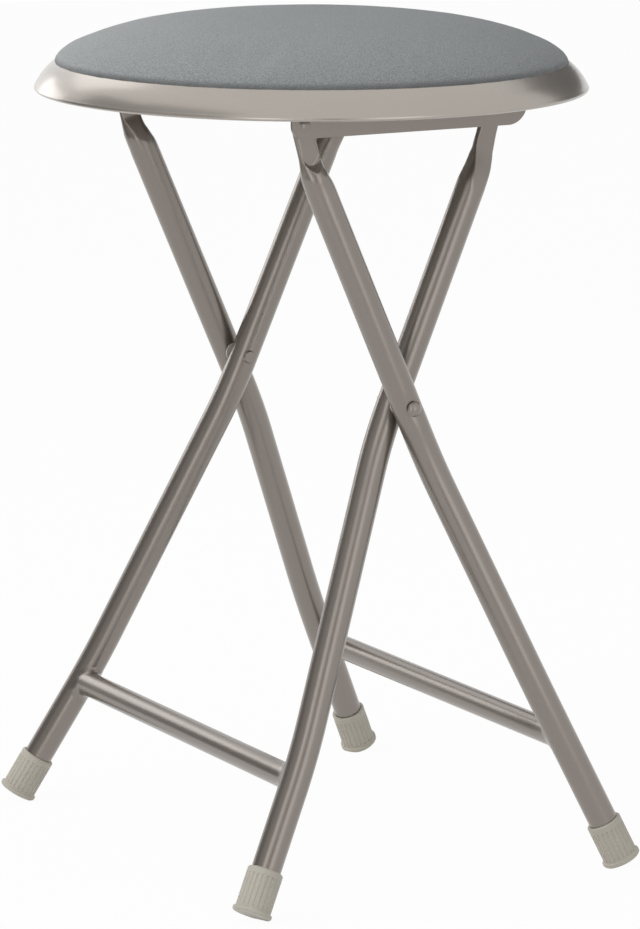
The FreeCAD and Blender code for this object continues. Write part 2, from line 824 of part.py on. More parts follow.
def make_pins(name, side, outer, inner):
    """Rivets, spacer and washer of one side, laid along X."""
    half_tube = "leg_tube_dia / 2"
    pin = "pin_dia / 2"
    grip = f"{half_tube} * 2 + outer_leg_plane - inner_leg_plane"
    rivet = turned_part(
        f"mid_rivet_{name}",
        [
            ("0", "-mid_rivet_play - mid_rivet_tail_height"),
            ("mid_rivet_tail_dia / 2 - 1", "-mid_rivet_play - mid_rivet_tail_height"),
            ("mid_rivet_tail_dia / 2", "-mid_rivet_play"),
            (pin, "-mid_rivet_play"),
            (pin, grip),
            ("mid_rivet_head_dia / 2", grip),
            ("0", f"{grip} + mid_rivet_head_height"),
        ],
        {5: dome_radius("mid_rivet_head_dia", "mid_rivet_head_height")},
    )
    inner_skin = abs(inner.pivot.x) - size(half_tube)
    rivet.Placement = along_x(inner_skin, inner.pivot.y, inner.pivot.z, side)

    lean = "(inner_leg_plane - inner_leg_top_plane) / (pin_height - pivot_height)"
    play = f"(spacer_play + {lean} * spacer_dia / 2)"
    spacer_room = f"outer_leg_plane - inner_leg_plane - leg_tube_dia - {play}"
    spacer = turned_part(
        f"mid_spacer_{name}",
        [
            (f"{pin} + pin_clearance", "0"),
            ("spacer_dia / 2", "0"),
            ("spacer_dia / 2", spacer_room),
            (f"{pin} + pin_clearance", spacer_room),
        ],
    )
    spacer_start = abs(outer.pivot.x) - size(f"{half_tube} + {spacer_room}")
    spacer.Placement = along_x(spacer_start, inner.pivot.y, inner.pivot.z, side)

    tongue_out = "outer_leg_plane + outer_tongue_shift + tongue_thickness / 2"
    washer_room = f"bracket_outer_face - bracket_wall - ({tongue_out})"
    washer = turned_part(
        f"top_washer_{name}",
        [
            (f"{pin} + pin_clearance", "0"),
            ("washer_dia / 2", "0"),
            ("washer_dia / 2", f"{washer_room} - pin_clearance"),
            (f"{pin} + pin_clearance", f"{washer_room} - pin_clearance"),
        ],
    )
    washer.Placement = along_x(size(tongue_out), outer.pin.y, outer.pin.z, side)

    stack = f"tongue_thickness + {washer_room} + bracket_wall + pin_clearance"
    top = turned_part(
        f"top_rivet_{name}",
        [
            ("0", "-top_rivet_head_height"),
            ("top_rivet_head_dia / 2 - 1", "-top_rivet_head_height"),
            ("top_rivet_head_dia / 2", "0"),
            (pin, "0"),
            (pin, stack),
            ("top_rivet_head_dia / 2", stack),
            ("0", f"{stack} + top_rivet_head_height"),
        ],
        {5: dome_radius("top_rivet_head_dia", "top_rivet_head_height")},
    )
    tongue_in = size(tongue_out) - size("tongue_thickness")
    top.Placement = along_x(tongue_in, outer.pin.y, outer.pin.z, side)

    tongue_skin = "inner_leg_top_plane - inner_tongue_shift + tongue_thickness / 2"
    reach = f"{tongue_skin} + hook_play - bracket_inner_face"
    hook = turned_part(
        f"hook_pin_{name}",
        [
            ("0", "-top_rivet_head_height - pin_clearance"),
            ("top_rivet_head_dia / 2 - 1", "-top_rivet_head_height - pin_clearance"),
            ("top_rivet_head_dia / 2", "-pin_clearance * 5"),
            (pin, "-pin_clearance * 5"),
            (pin, reach),
            ("top_rivet_head_dia / 2", reach),
            ("top_rivet_head_dia / 2 - 1", f"{reach} + top_rivet_head_height"),
            ("0", f"{reach} + top_rivet_head_height"),
        ],
    )
    hook.Placement = along_x(size("bracket_inner_face"), inner.pin.y, inner.pin.z, side)


make_seat()
for side_name, side_sign in SIDES.items():
    make_bracket(side_name, side_sign)
leg_lines = {}
for frame in ("outer", "inner"):
    made = {name: make_leg(frame, name, side) for name, side in SIDES.items()}
    leg_lines[frame] = {name: line for name, (line, form) in made.items()}
    make_stretcher(frame, leg_lines[frame], [form for line, form in made.values()])
    for name, side in SIDES.items():
        make_foot(frame, name, side, leg_lines[frame][name])
for name, side in SIDES.items():
    make_pins(name, side, leg_lines["outer"][name], leg_lines["inner"][name])
doc.recompute()

NODES = ["seat_pan", "seat_board", "seat_foam", "seat_cover", "seat_screws"]
NODES += ["outer_stretcher", "inner_stretcher"]
PAIRED = (
    "bracket",
    "bracket_screws",
    "outer_leg",
    "inner_leg",
    "mid_rivet",
    "mid_spacer",
    "top_rivet",
    "top_washer",
    "hook_pin",
    "outer_foot",
    "inner_foot",
)
NODES += [f"{piece}_{name}" for piece in PAIRED for name in SIDES]

for item in doc.Objects:
    if "Invalid" in item.State or "Error" in item.State:
        raise RuntimeError(f"{item.Label} did not recompute")
labels = {item.Label: item for item in doc.Objects}
os.makedirs("parts", exist_ok=True)
for node in NODES:
    shape = labels[node].Shape
    if shape.isNull() or not shape.isValid() or shape.Volume <= 0:
        raise RuntimeError(f"{node} has no valid solid")
for node in NODES:
    labels[node].Shape.exportStep(f"parts/{node}.step")
    print(node, round(labels[node].Shape.Volume), len(labels[node].Shape.Solids))
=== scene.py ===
import json
import math

import bmesh
import bpy
from mathutils import Matrix, Vector


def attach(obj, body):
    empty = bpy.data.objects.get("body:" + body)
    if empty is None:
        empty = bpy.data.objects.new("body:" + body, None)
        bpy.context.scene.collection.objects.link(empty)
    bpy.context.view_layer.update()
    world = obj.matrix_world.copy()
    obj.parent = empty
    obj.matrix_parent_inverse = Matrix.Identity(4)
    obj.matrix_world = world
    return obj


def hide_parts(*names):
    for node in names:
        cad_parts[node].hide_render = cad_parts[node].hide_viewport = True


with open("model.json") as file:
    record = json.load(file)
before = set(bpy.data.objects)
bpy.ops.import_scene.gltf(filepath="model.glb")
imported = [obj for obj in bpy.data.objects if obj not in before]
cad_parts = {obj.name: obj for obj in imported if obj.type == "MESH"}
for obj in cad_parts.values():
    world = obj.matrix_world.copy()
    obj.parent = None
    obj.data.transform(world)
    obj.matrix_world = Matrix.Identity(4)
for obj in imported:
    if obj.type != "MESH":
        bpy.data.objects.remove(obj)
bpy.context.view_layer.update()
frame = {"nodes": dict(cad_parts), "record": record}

bl_info = {
    "name": "Folding Bar Stool",
    "version": (1, 0, 0),
    "blender": (4, 5, 0),
    "location": "View3D > Sidebar > Bar Stool",
    "description": "Builds the cushion, tubes, rim, finishes and studio of a folding bar stool",
    "category": "Add Mesh",
}

SIDES = {"right": 1, "left": -1}
WHITE = (1, 1, 1, 1)


# Shader maths
class Signal:
    """A node's output that takes part in Python expressions on numbers."""

    def __init__(self, nodes, socket):
        self.nodes = nodes
        self.socket = socket

    def math(self, operation, *values, clamp=False):
        settings = {"operation": operation, "use_clamp": clamp}
        return self.nodes.node("ShaderNodeMath", settings, dict(enumerate(values)))

    def __add__(self, other):
        return self.math("ADD", self, other)

    def __sub__(self, other):
        return self.math("SUBTRACT", self, other)

    def __rsub__(self, other):
        return self.math("SUBTRACT", other, self)

    def __mul__(self, other):
        return self.math("MULTIPLY", self, other)

    __radd__ = __add__
    __rmul__ = __mul__

    def clamped(self):
        return self.math("ADD", self, 0.0, clamp=True)

    def at_least(self, other):
        return self.math("MAXIMUM", self, other)


class Nodes:
    """The nodes of a material or a world, with one method that makes any node."""

    def __init__(self, tree):
        self.tree = tree

    def node(self, kind, settings=None, inputs=None, output=0):
        made = self.tree.nodes.new(kind)
        for key, value in (settings or {}).items():
            setattr(made, key, value)
        for key, value in (inputs or {}).items():
            self.feed(made.inputs[key], value)
        return Signal(self, made.outputs[output])

    def feed(self, socket, value):
        if isinstance(value, Signal):
            self.tree.links.new(value.socket, socket)
        else:
            socket.default_value = value

    def show(self, shader):
        """Link a shader to the tree's output."""
        kinds = ("OUTPUT_MATERIAL", "OUTPUT_WORLD")
        sink = next(node for node in self.tree.nodes if node.type in kinds)
        self.feed(sink.inputs["Surface"], shader)

    def seen_directly(self):
        """1 for a ray of the camera, of a reflection or through glass, and 0 for others."""
        eye, mirror, glass = (
            self.node("ShaderNodeLightPath", output=f"Is {kind} Ray")
            for kind in ("Camera", "Glossy", "Transmission"))
        return eye.at_least(mirror).at_least(glass)


class Finish(Nodes):
    """A node material for one finish."""

    def __init__(self, name):
        self.material = bpy.data.materials.new(name)
        self.material.use_nodes = True
        super().__init__(self.material.node_tree)
        self.shader = next(node for node in self.tree.nodes if node.type == "BSDF_PRINCIPLED")

    def set(self, **values):
        """Set or link the shader's sockets; an underscore stands for a space."""
        for name, value in values.items():
            self.feed(self.shader.inputs[name.replace("_", " ")], value)

    def place(self, scale=(1, 1, 1)):
        """Object coordinates, stretched."""
        where = self.node("ShaderNodeTexCoord", output="Object")
        return self.node("ShaderNodeMapping", {}, {"Vector": where, "Scale": scale})

    def noise(self, where, scale, detail=4.0, roughness=0.5):
        inputs = {"Vector": where, "Scale": scale, "Detail": detail, "Roughness": roughness}
        return self.node("ShaderNodeTexNoise", {}, inputs, "Fac")

    def cells(self, where, scale, output, feature="F1"):
        """Cells of uneven shape, by one of their outputs."""
        inputs = {"Vector": where, "Scale": scale, "Randomness": 1.0}
        return self.node("ShaderNodeTexVoronoi", {"feature": feature}, inputs, output)

    def mix(self, factor, first, second):
        inputs = {0: factor, 6: first, 7: second}
        return self.node("ShaderNodeMix", {"data_type": "RGBA"}, inputs, 2)

    def bump(self, height, depth, strength=1.0):
        inputs = {"Height": height, "Distance": depth, "Strength": strength}
        return self.node("ShaderNodeBump", {}, inputs)


def linear(red, green, blue):
    """Linear colour of an sRGB colour given in 0 to 255."""
    def one(value):
        value /= 255
        return value / 12.92 if value <= 0.04045 else ((value + 0.055) / 1.055) ** 2.4

    return (one(red), one(green), one(blue), 1.0)


def opaque(colour):
    """A user's colour with full alpha."""
    return tuple(colour) + (1.0,)


def shaded(colour, factor):
    return tuple(channel * factor for channel in colour[:3]) + (1.0,)


# Finishes
ENAMEL_METALLIC = 0.7
# Radius at which painted shade starts to darken the vinyl towards the rim, and how fast it does,
# per metre
SEAM_SHADE_START = 0.1903
SEAM_SHADE_RATE = 380.0


def pewter_enamel(name, colour, roughness):
    """Metallic gloss enamel: fine flake under a faint orange peel."""
    finish = Finish(name)
    where = finish.place()
    flake = finish.noise(where, scale=2600.0, detail=2.0, roughness=0.6)
    cloud = finish.noise(where, scale=14.0, detail=3.0)
    peel = finish.noise(where, scale=420.0, detail=2.0)
    dull_patches = (cloud - 0.35) * 0.5
    tone = finish.mix(flake, shaded(colour, 0.86), shaded(colour, 1.14))
    tone = finish.mix(dull_patches, tone, shaded(colour, 0.9))
    finish.set(
        Base_Color=tone,
        Metallic=ENAMEL_METALLIC,
        Roughness=(roughness - 0.03) + cloud * 0.06,
        Coat_Weight=0.35,
        Coat_Roughness=0.12,
        Normal=finish.bump(peel * 0.7 + flake * 0.3, depth=0.00006, strength=0.5),
    )
    return finish.material


def grained_vinyl(looks):
    """Fine-grained satin vinyl, darker in the grain, with painted shade where it meets the rim."""
    finish = Finish("grained_vinyl")
    colour = opaque(looks.vinyl_colour)
    where = finish.place()
    grain = finish.cells(where, 620.0, "Distance", "DISTANCE_TO_EDGE")
    pebble = (grain * 3.2).clamped()
    speck = finish.noise(where, scale=1000.0, detail=3.0, roughness=0.7)
    cloud = finish.noise(where, scale=11.0, detail=3.0)
    bright_specks = (speck - 0.36) * 3.6
    dull_patches = (cloud - 0.3) * 0.35
    # painted shade: the vinyl darkens to half its colour in the crevice at the rim, by radius
    flat = {0: finish.place((1, 1, 0))}
    radius = finish.node("ShaderNodeVectorMath", {"operation": "LENGTH"}, flat, "Value")
    seam_shade = (radius - SEAM_SHADE_START) * SEAM_SHADE_RATE
    tone = finish.mix(pebble, shaded(colour, 0.78), shaded(colour, 1.05))
    tone = finish.mix(bright_specks, tone, shaded(colour, 1.8))
    tone = finish.mix(dull_patches, tone, shaded(colour, 0.86))
    tone = finish.mix(seam_shade, tone, shaded(colour, 0.5))
    finish.set(
        Base_Color=tone,
        Roughness=0.5 + speck * 0.14 - pebble * 0.06,
        Specular_IOR_Level=0.42,
        Normal=finish.bump(pebble + speck * 0.5, depth=0.0003, strength=0.5),
    )
    return finish.material


def moulded_plastic(name, colour):
    """Moulded plastic with a slightly uneven tone and fine grime."""
    finish = Finish(name)
    where = finish.place()
    cloud = finish.noise(where, scale=60.0)
    grit = finish.noise(where, scale=900.0, detail=3.0, roughness=0.6)
    grime = ((grit - 0.58) * 5.0).clamped() * 0.35
    tone = finish.mix(cloud, shaded(colour, 0.9), shaded(colour, 1.08))
    tone = finish.mix(grime, tone, shaded(colour, 0.7))
    finish.set(
        Base_Color=tone,
        Roughness=0.46 + cloud * 0.1,
        Normal=finish.bump(grit, depth=0.0001, strength=0.5),
    )
    return finish.material


def zinc_plate(name):
    """Bright zinc plating with a fine mottle."""
    finish = Finish(name)
    mottle = finish.noise(finish.place(), scale=160.0, detail=5.0, roughness=0.6)
    finish.set(
        Base_Color=finish.mix(mottle, linear(150, 150, 148), linear(205, 205, 198)),
        Metallic=1.0,
        Roughness=0.24 + mottle * 0.22,
        Normal=finish.bump(mottle, depth=0.00005, strength=0.4),
    )
    return finish.material


def chipboard(name):
    """Raw chipboard: flat chips, each in a tone of its own."""
    finish = Finish(name)
    chips = finish.cells(finish.place(), 260.0, "Color")
    shade = finish.node("ShaderNodeSeparateColor", {}, {"Color": chips})
    finish.set(
        Base_Color=finish.mix(shade, linear(150, 118, 78), linear(212, 184, 140)),
        Roughness=0.85,
        Normal=finish.bump(shade, depth=0.0002, strength=0.5),
    )
    return finish.material


def open_foam(name):
    """Yellowed foam with open cells."""
    finish = Finish(name)
    cells = finish.noise(finish.place(), scale=700.0, roughness=0.7)
    finish.set(
        Base_Color=finish.mix(cells, linear(196, 182, 130), linear(236, 226, 186)),
        Roughness=0.95,
        Normal=finish.bump(cells, depth=0.0006, strength=0.8),
    )
    return finish.material


# Sizes and colours that a user would change
class StoolLooks(bpy.types.PropertyGroup):
    vinyl_colour: bpy.props.FloatVectorProperty(
        name="Vinyl", description="Colour of the seat's vinyl", size=3, min=0, max=1,
        subtype="COLOR", default=linear(128, 131, 132)[:3])
    frame_colour: bpy.props.FloatVectorProperty(
        name="Frame", description="Colour of the enamel on tubes and brackets", size=3,
        min=0, max=1, subtype="COLOR", default=linear(140, 132, 125)[:3])
    rim_colour: bpy.props.FloatVectorProperty(
        name="Rim", description="Colour of the enamel on the seat's rim", size=3,
        min=0, max=1, subtype="COLOR", default=linear(176, 169, 161)[:3])
    cap_colour: bpy.props.FloatVectorProperty(
        name="Foot caps", description="Colour of the moulded foot caps", size=3,
        min=0, max=1, subtype="COLOR", default=linear(198, 193, 180)[:3])
    crown: bpy.props.FloatProperty(
        name="Crown", description="Height of the cushion over the rim", unit="LENGTH",
        default=0.0346, min=0.02, max=0.06)
    cushion_radius: bpy.props.FloatProperty(
        name="Cushion radius", description="Radius at the cushion's edge", unit="LENGTH",
        default=0.1928, min=0.15, max=0.2)
    crest: bpy.props.FloatProperty(
        name="Rim crest", description="Height of the rim's crest", unit="LENGTH",
        default=0.598, min=0.5, max=0.7)
    pad_voxel: bpy.props.FloatProperty(
        name="Pad mesh", description="Voxel size for the swelling of the pad", unit="LENGTH",
        default=0.005, min=0.003, max=0.008)
    lens: bpy.props.FloatProperty(
        name="Lens", description="Focal length of the camera", unit="CAMERA",
        default=181.27, min=20, max=400)


# Modelling helpers
TUBE_FACES = 48
SHARP = 50  # degrees between faces past which a tube's edge stays sharp


def finished(name, made, material, body, smooth_angle=None):
    """A new piece from a bmesh whose faces point outwards, riding on a body."""
    mesh = bpy.data.meshes.new(name)
    made.normal_update()
    made.to_mesh(mesh)
    made.free()
    piece = bpy.data.objects.new(name, mesh)
    bpy.context.scene.collection.objects.link(piece)
    mesh.materials.append(material)
    for face in mesh.polygons:
        face.use_smooth = True
    if smooth_angle is not None:
        mesh.set_sharp_from_angle(angle=math.radians(smooth_angle))
    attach(piece, body)
    return piece


def spun(points, steps):
    """A bmesh of a profile of radius and height turned fully about Z."""
    made = bmesh.new()
    corners = [made.verts.new((radius, 0, height)) for radius, height in points]
    edges = [made.edges.new(pair) for pair in zip(corners, corners[1:])]
    bmesh.ops.spin(
        made, geom=corners + edges, cent=(0, 0, 0), axis=(0, 0, 1), angle=2 * math.pi,
        steps=steps, use_merge=True)
    bmesh.ops.remove_doubles(made, verts=made.verts, dist=1e-6)
    bmesh.ops.recalc_face_normals(made, faces=made.faces)
    return made


def ring_of(made, place):
    """A first loop of points, each holding its turn round the piece."""
    turns = made.verts.layers.float.new("turn")
    points = bmesh.ops.create_circle(made, segments=TUBE_FACES, radius=1)["verts"]
    for point in points:
        point[turns] = math.atan2(point.co.y, point.co.x)
    for point in points:
        point.co = place(point[turns])
    return list(made.edges)


def rung(made, edges, place):
    """Extrude a loop of edges and put each new point where place sends its turn."""
    turns = made.verts.layers.float["turn"]
    grown = bmesh.ops.extrude_edge_only(made, edges=edges)["geom"]
    for item in grown:
        if isinstance(item, bmesh.types.BMVert):
            item.co = place(item[turns])
    return [item for item in grown if isinstance(item, bmesh.types.BMEdge)]


def ladder(places, closed=True):
    """A tube-like skin through many loops, its ends closed with a face."""
    made = bmesh.new()
    edges = ring_of(made, places[0])
    if closed:
        bmesh.ops.holes_fill(made, edges=edges, sides=0)
    for place in places[1:]:
        edges = rung(made, edges, place)
    if closed:
        bmesh.ops.holes_fill(made, edges=edges, sides=0)
    bmesh.ops.recalc_face_normals(made, faces=made.faces)
    return made


def ramp(value):
    """Straight step from 0 to 1."""
    return min(max(value, 0.0), 1.0)


def ease(value):
    """Smooth step from 0 to 1."""
    value = ramp(value)
    return value * value * (3 - 2 * value)


def soft_limit(value, limit, rounding=0.0014):
    """A size held under a limit with a rounded corner, its sign kept."""
    size = abs(value)
    share = ramp(0.5 + 0.5 * (limit - size) / rounding)
    held = limit + (size - limit) * share - rounding * share * (1 - share)
    return math.copysign(max(held, 0.0), value)


# Legs. Points on a right leg's centre line, from its pin to its foot, how much longer its
# tongue is, and the tongue's shift outwards. Aim is where the line of the tube reaches the
# pin's height; the pressed tongue leaves that line and leans to the pin itself.
LEGS = {
    "outer": {
        "pin": (0.1385, -0.0875, 0.570), "aim": (0.1385, -0.0922, 0.570),
        "pivot": (0.1385, 0.003, 0.356), "bend": (0.1385, 0.02346, 0.310),
        "knee": (0.1747, 0.0951, 0.1423), "foot": (0.1986, 0.1582, 0.00529),
        "late": 0.0, "shift": 0.0017, "body": "outer_frame",
    },
    "inner": {
        "pin": (0.110, 0.0935, 0.570), "aim": (0.110, 0.0982, 0.570),
        "pivot": (0.115, 0.0042, 0.356), "bend": (0.1148, -0.0074, 0.329),
        "knee": (0.1693, -0.1005, 0.112), "foot": (0.1938, -0.1577, 0.00599),
        "late": 0.008, "shift": -0.0022, "body": "inner_frame",
    },
}
TUBE = 0.011  # radius
BEND_REACH, KNEE_REACH = 0.026, 0.028  # how far a rounded bend reaches from its corner
FOOT_GAP = 0.004  # by which a tube ends short of its foot point, inside the cap
SHORT_PITCH, LONG_PITCH = 0.0016, 0.02  # between loops on a leg's upper runs and last run
BEND_STEPS = 12

TONGUE_HALF_WIDTH = 0.00825
TONGUE_HALF_THICKNESS = 0.0025
TONGUE_LEAN = 15.5  # degrees from upright
TONGUE_END_STEPS = 9
OPENING = 0.009  # added to the half thickness where the tube is round again

# Changes along a leg: distance below the pin where each starts, and its length
EDGES_ROUND = (0.018, 0.028)
LINE_CHANGES = (0.024, 0.029)
TUBE_WIDENS = (0.025, 0.033)
INNER_LEG_RISES = (0.024, 0.052)
# The same with the power of the curve; the outer leg's wall starts higher at its sides
INSIDE_RAMP = (0.026, 0.024, 1.5)
OUTSIDE_WALL = (0.0318, 0.0075, 1.3)
WALL_BOW = 0.0085

RIVET_DENT = (0.0012, 0.0085)  # depth and width of the dent round the middle rivet


def leg_point(kind, name, side):
    x, y, z = LEGS[kind][name]
    return Vector((side * x, y, z))


def leg_stations(kind, side):
    """Centre line of a leg down from its aim: points and directions, bends rounded."""
    aim, bend, knee, foot = (leg_point(kind, n, side) for n in ("aim", "bend", "knee", "foot"))
    end = foot - (foot - knee).normalized() * FOOT_GAP
    stations = []
    here = aim
    bends = ((aim, bend, knee, BEND_REACH), (bend, knee, end, KNEE_REACH))
    for above, corner, below, reach in bends:
        before = (corner - above).normalized()
        after = (below - corner).normalized()
        first = corner - before * reach
        last = corner + after * reach
        count = max(int((first - here).length / SHORT_PITCH), 1)
        stations += [(here.lerp(first, step / count), before) for step in range(count)]
        for step in range(BEND_STEPS):
            share = step / BEND_STEPS
            spot = first.lerp(corner, share).lerp(corner.lerp(last, share), share)
            stations.append((spot, before.lerp(after, share).normalized()))
        here = last
    count = int((end - here).length / LONG_PITCH)
    stations += [(here.lerp(end, step / count), after) for step in range(count + 1)]
    return stations


def changed(along, start, length):
    """Share of a smooth change that is done at a distance below the pin."""
    return ease((along - start) / length)


def opened(distance, length, power):
    """Share of a curved ramp that is done at a distance from its start."""
    return 1 - (1 - ramp(distance / length)) ** power


def crush(kind, along):
    """Half thickness of a leg, by side and share of its width, at a distance below its pin.

    A ramp leads from the pressed tongue to the round tube, and cuts it in a U. Outside
    it is a short curved wall on the outer leg and a long smooth rise on the inner leg.
    """
    def limit(share, outside):
        if not outside:
            start, length, power = INSIDE_RAMP
            rise = opened(along - (start + LEGS[kind]["late"]), length, power)
        elif kind == "outer":
            start, length, power = OUTSIDE_WALL
            rise = opened(along - (start - WALL_BOW * share * share), length, power)
        else:
            rise = changed(along, *INNER_LEG_RISES)
        return TONGUE_HALF_THICKNESS + OPENING * rise

    return limit


def leg_section(kind, along, centre, down, outward, wide, shift):
    """Place on a leg's skin for a turn: a round tube held flat, with rounded edges."""
    across = down.cross(outward).normalized()
    facing = across.cross(down).normalized()
    limit = crush(kind, along)
    edge = TONGUE_HALF_THICKNESS
    edge += (TUBE - TONGUE_HALF_THICKNESS) * changed(along, *EDGES_ROUND)
    rivet_y, rivet_z = LEGS[kind]["pivot"][1:]
    dent, dent_width = RIVET_DENT

    def place(turn):
        share = math.cos(turn)
        thick = TUBE * math.sin(turn)
        thick = soft_limit(thick, limit(share, thick > 0))
        beyond = max(wide * abs(share) - max(wide - edge, 0), 0)
        rounded = math.sqrt(max(edge * edge - beyond * beyond, 0))
        thick = math.copysign(min(abs(thick), rounded), thick)
        spot = centre + across * wide * share + facing * (thick + shift)
        if thick > 0:
            apart = math.hypot(spot.y - rivet_y, spot.z - rivet_z) / dent_width
            spot -= facing * dent * math.exp(-apart * apart)
        return spot

    return place


def make_leg(kind, name, side, material):
    """One leg: crushed tongue round the pin, scooped shoulders, bent round tube."""
    leg = LEGS[kind]
    outward = Vector((side, 0, 0))
    aim, pin = leg_point(kind, "aim", side), leg_point(kind, "pin", side)
    lean = math.radians(TONGUE_LEAN)
    upright = Vector((0, math.copysign(math.sin(lean), -pin.y), -math.cos(lean)))
    places = []
    for step in range(1, TONGUE_END_STEPS):
        angle = math.radians(90 * step / TONGUE_END_STEPS)
        spot = pin - upright * TONGUE_HALF_WIDTH * math.cos(angle)
        wide = TONGUE_HALF_WIDTH * math.sin(angle)
        places.append(leg_section(kind, 0, spot, upright, outward, wide, leg["shift"]))
    for spot, down in leg_stations(kind, side):
        along = (spot - aim).length
        leaving = changed(along - leg["late"], *LINE_CHANGES)
        centre = (pin + upright * along).lerp(spot, leaving)
        way = upright.lerp(down, leaving).normalized()
        widening = changed(along - leg["late"], *TUBE_WIDENS)
        wide = TONGUE_HALF_WIDTH + (TUBE - TONGUE_HALF_WIDTH) * widening
        shift = leg["shift"] * (1 - leaving)
        places.append(leg_section(kind, along, centre, way, outward, wide, shift))
    piece = finished(f"{kind}_leg_{name}_tube", ladder(places), material, leg["body"], SHARP)
    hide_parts(f"{kind}_leg_{name}")


# Stretchers
STRETCHER = 0.0095  # radius
STRETCHER_HEIGHTS = {"outer": 0.1016, "inner": 0.095}
WELD = 0.006  # width of the fillet
WELD_STEPS = 7
WELD_LIMIT = 0.985  # share of the leg's width that the fillet may reach
STRAIGHT_FROM = 0.02  # distance from a leg's skin to the last loop before the straight run


def make_stretcher(kind, material):
    """Cross tube whose ends are welded to the legs in a hollow fillet."""
    height = STRETCHER_HEIGHTS[kind]
    knee, foot = leg_point(kind, "knee", 1), leg_point(kind, "foot", 1)
    spot = knee.lerp(foot, (height - knee.z) / (foot.z - knee.z))
    along = (foot - knee).normalized()

    def saddle(offset, side):
        """Place along X at which a line at an offset from the axis meets the leg's skin."""
        # (offset + x) minus its part along the leg is as long as the tube's radius
        a = 1 - along.x ** 2
        b = -2 * along.x * offset.dot(along)
        c = offset.length_squared - offset.dot(along) ** 2 - TUBE ** 2
        root = math.sqrt(max(b * b - 4 * a * c, 0))
        return side * (spot.x + (-b - root) / (2 * a))

    def place_at(rise, inset, side):
        """Place on the tube for a turn; the fillet's rise stays on the leg's skin."""
        def place(turn):
            way = Vector((0, math.cos(turn), math.sin(turn)))
            widest = WELD_LIMIT * TUBE / math.sqrt(1 - way.dot(along) ** 2)
            offset = way * (STRETCHER + rise * min(WELD, widest - STRETCHER))
            x = saddle(offset, side) - side * inset
            return Vector((x, spot.y + offset.y, height + offset.z))

        return place

    angles = [math.radians(90 * step / WELD_STEPS) for step in range(WELD_STEPS + 1)]
    fillet = [(1 - math.cos(angle), WELD * (1 - math.sin(angle))) for angle in angles]
    places = [place_at(rise, inset, -1) for rise, inset in reversed(fillet)]
    places += [place_at(0, STRAIGHT_FROM, side) for side in (-1, 1)]
    places += [place_at(rise, inset, 1) for rise, inset in fillet]
    made = ladder(places, closed=False)
    piece = finished(f"{kind}_cross_tube", made, material, LEGS[kind]["body"], SHARP)
    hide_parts(f"{kind}_stretcher")


class STOOL_OT_frame(bpy.types.Operator):
    """Make the bent legs with crushed ends and the welded stretchers"""

    bl_idname = "stool.frame"
    bl_label = "Frame tubes"

    def execute(self, context):
        colour = opaque(context.scene.stool_looks.frame_colour)
        enamel = pewter_enamel("tube_enamel", colour, roughness=0.3)
        for kind in LEGS:
            make_stretcher(kind, enamel)
            for name, side in SIDES.items():
                make_leg(kind, name, side, enamel)
        return {"FINISHED"}


# Rim. Heights of the pan's two faces on its floor and in its bead, and the centres and
# radii of the arcs: the bowed wall, the hem at its foot and the crest at its top.
PAN_LOW, PAN_HIGH = 0.582, 0.5833
BEAD_LOW, BEAD_HIGH = 0.579, 0.5803
BOW, BOW_INSIDE, BOW_OUTSIDE = (0.16668, 0.56107), 0.0436, 0.045
HEM, HEM_INSIDE, HEM_OUTSIDE = (0.206, 0.5789), 0.0008, 0.002
CREST, CREST_RADIUS = (0.19135, 0.59675), 0.00145
RIM_STEPS = 200
RIM_SHARP = 35


def arc_points(centre, radius, first, last, steps):
    """Points of an arc in the profile plane, from one angle to another in degrees."""
    points = []
    for step in range(steps + 1):
        angle = math.radians(first + (last - first) * step / steps)
        points.append((centre[0] + radius * math.cos(angle), centre[1] + radius * math.sin(angle)))
    return points


def pan_profile():
    """From the axis below, out over the bead, round the rolled rim and back inside."""
    points = [(0, PAN_LOW), (0.053, PAN_LOW), (0.058, BEAD_LOW), (0.066, BEAD_LOW)]
    points += [(0.071, PAN_LOW), (0.1912, PAN_LOW), (0.1912, 0.5955)]
    points += arc_points(BOW, BOW_INSIDE, 54, 25, 20)
    points += arc_points(HEM, HEM_INSIDE, 0, -180, 4)
    points += arc_points(HEM, HEM_OUTSIDE, -180, 20, 12)
    points += arc_points(BOW, BOW_OUTSIDE, 25.4, 55, 36)
    points += arc_points(CREST, CREST_RADIUS, 60, 180, 8)
    points += [(0.1899, 0.5846), (0.189, PAN_HIGH), (0.0705, PAN_HIGH), (0.0655, BEAD_HIGH)]
    points += [(0.0585, BEAD_HIGH), (0.0535, PAN_HIGH), (0, PAN_HIGH)]
    return points


class STOOL_OT_rim(bpy.types.Operator):
    """Make the pressed seat pan with its rolled rim"""

    bl_idname = "stool.rim"
    bl_label = "Rim and pan"

    def execute(self, context):
        colour = opaque(context.scene.stool_looks.rim_colour)
        enamel = pewter_enamel("pan_enamel", colour, roughness=0.26)
        made = spun(pan_profile(), RIM_STEPS)
        piece = finished("seat_pan_rim", made, enamel, "seat", RIM_SHARP)
        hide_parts("seat_pan")
        return {"FINISHED"}


# Cushion. Its section is a superellipse: share of radius ** CROWN_WIDE plus share of
# height ** CROWN_HIGH is 1.
CROWN_WIDE, CROWN_HIGH = 3.04, 1.61
PAD_INSET = 0.0035  # by which the pad is lower before it swells
PAD_STEPS = 26
PAD_TURN_STEPS = 96
PAD_SIDE = 0.1885  # radius inside the rim
SWELL_FRAMES, SWELL_PRESSURE = 20, 4.0
SWELL_CAP = 0.005  # furthest that air moves a point
# Points lower than this over the crest don't swell, and lower than this under it don't move
TUCKED_OVER, FIXED_UNDER = 0.001, 0.0025
TAUT = 0.75  # share of the way to the taut skin
SHOULDER, SHOULDER_WIDTH = 0.84, 0.1  # share of the radius where the side takes over


def crown_height(share, crown):
    """Height of the pad over its edge at a share of its radius."""
    return crown * max(1 - share ** CROWN_WIDE, 0) ** (1 / CROWN_HIGH)


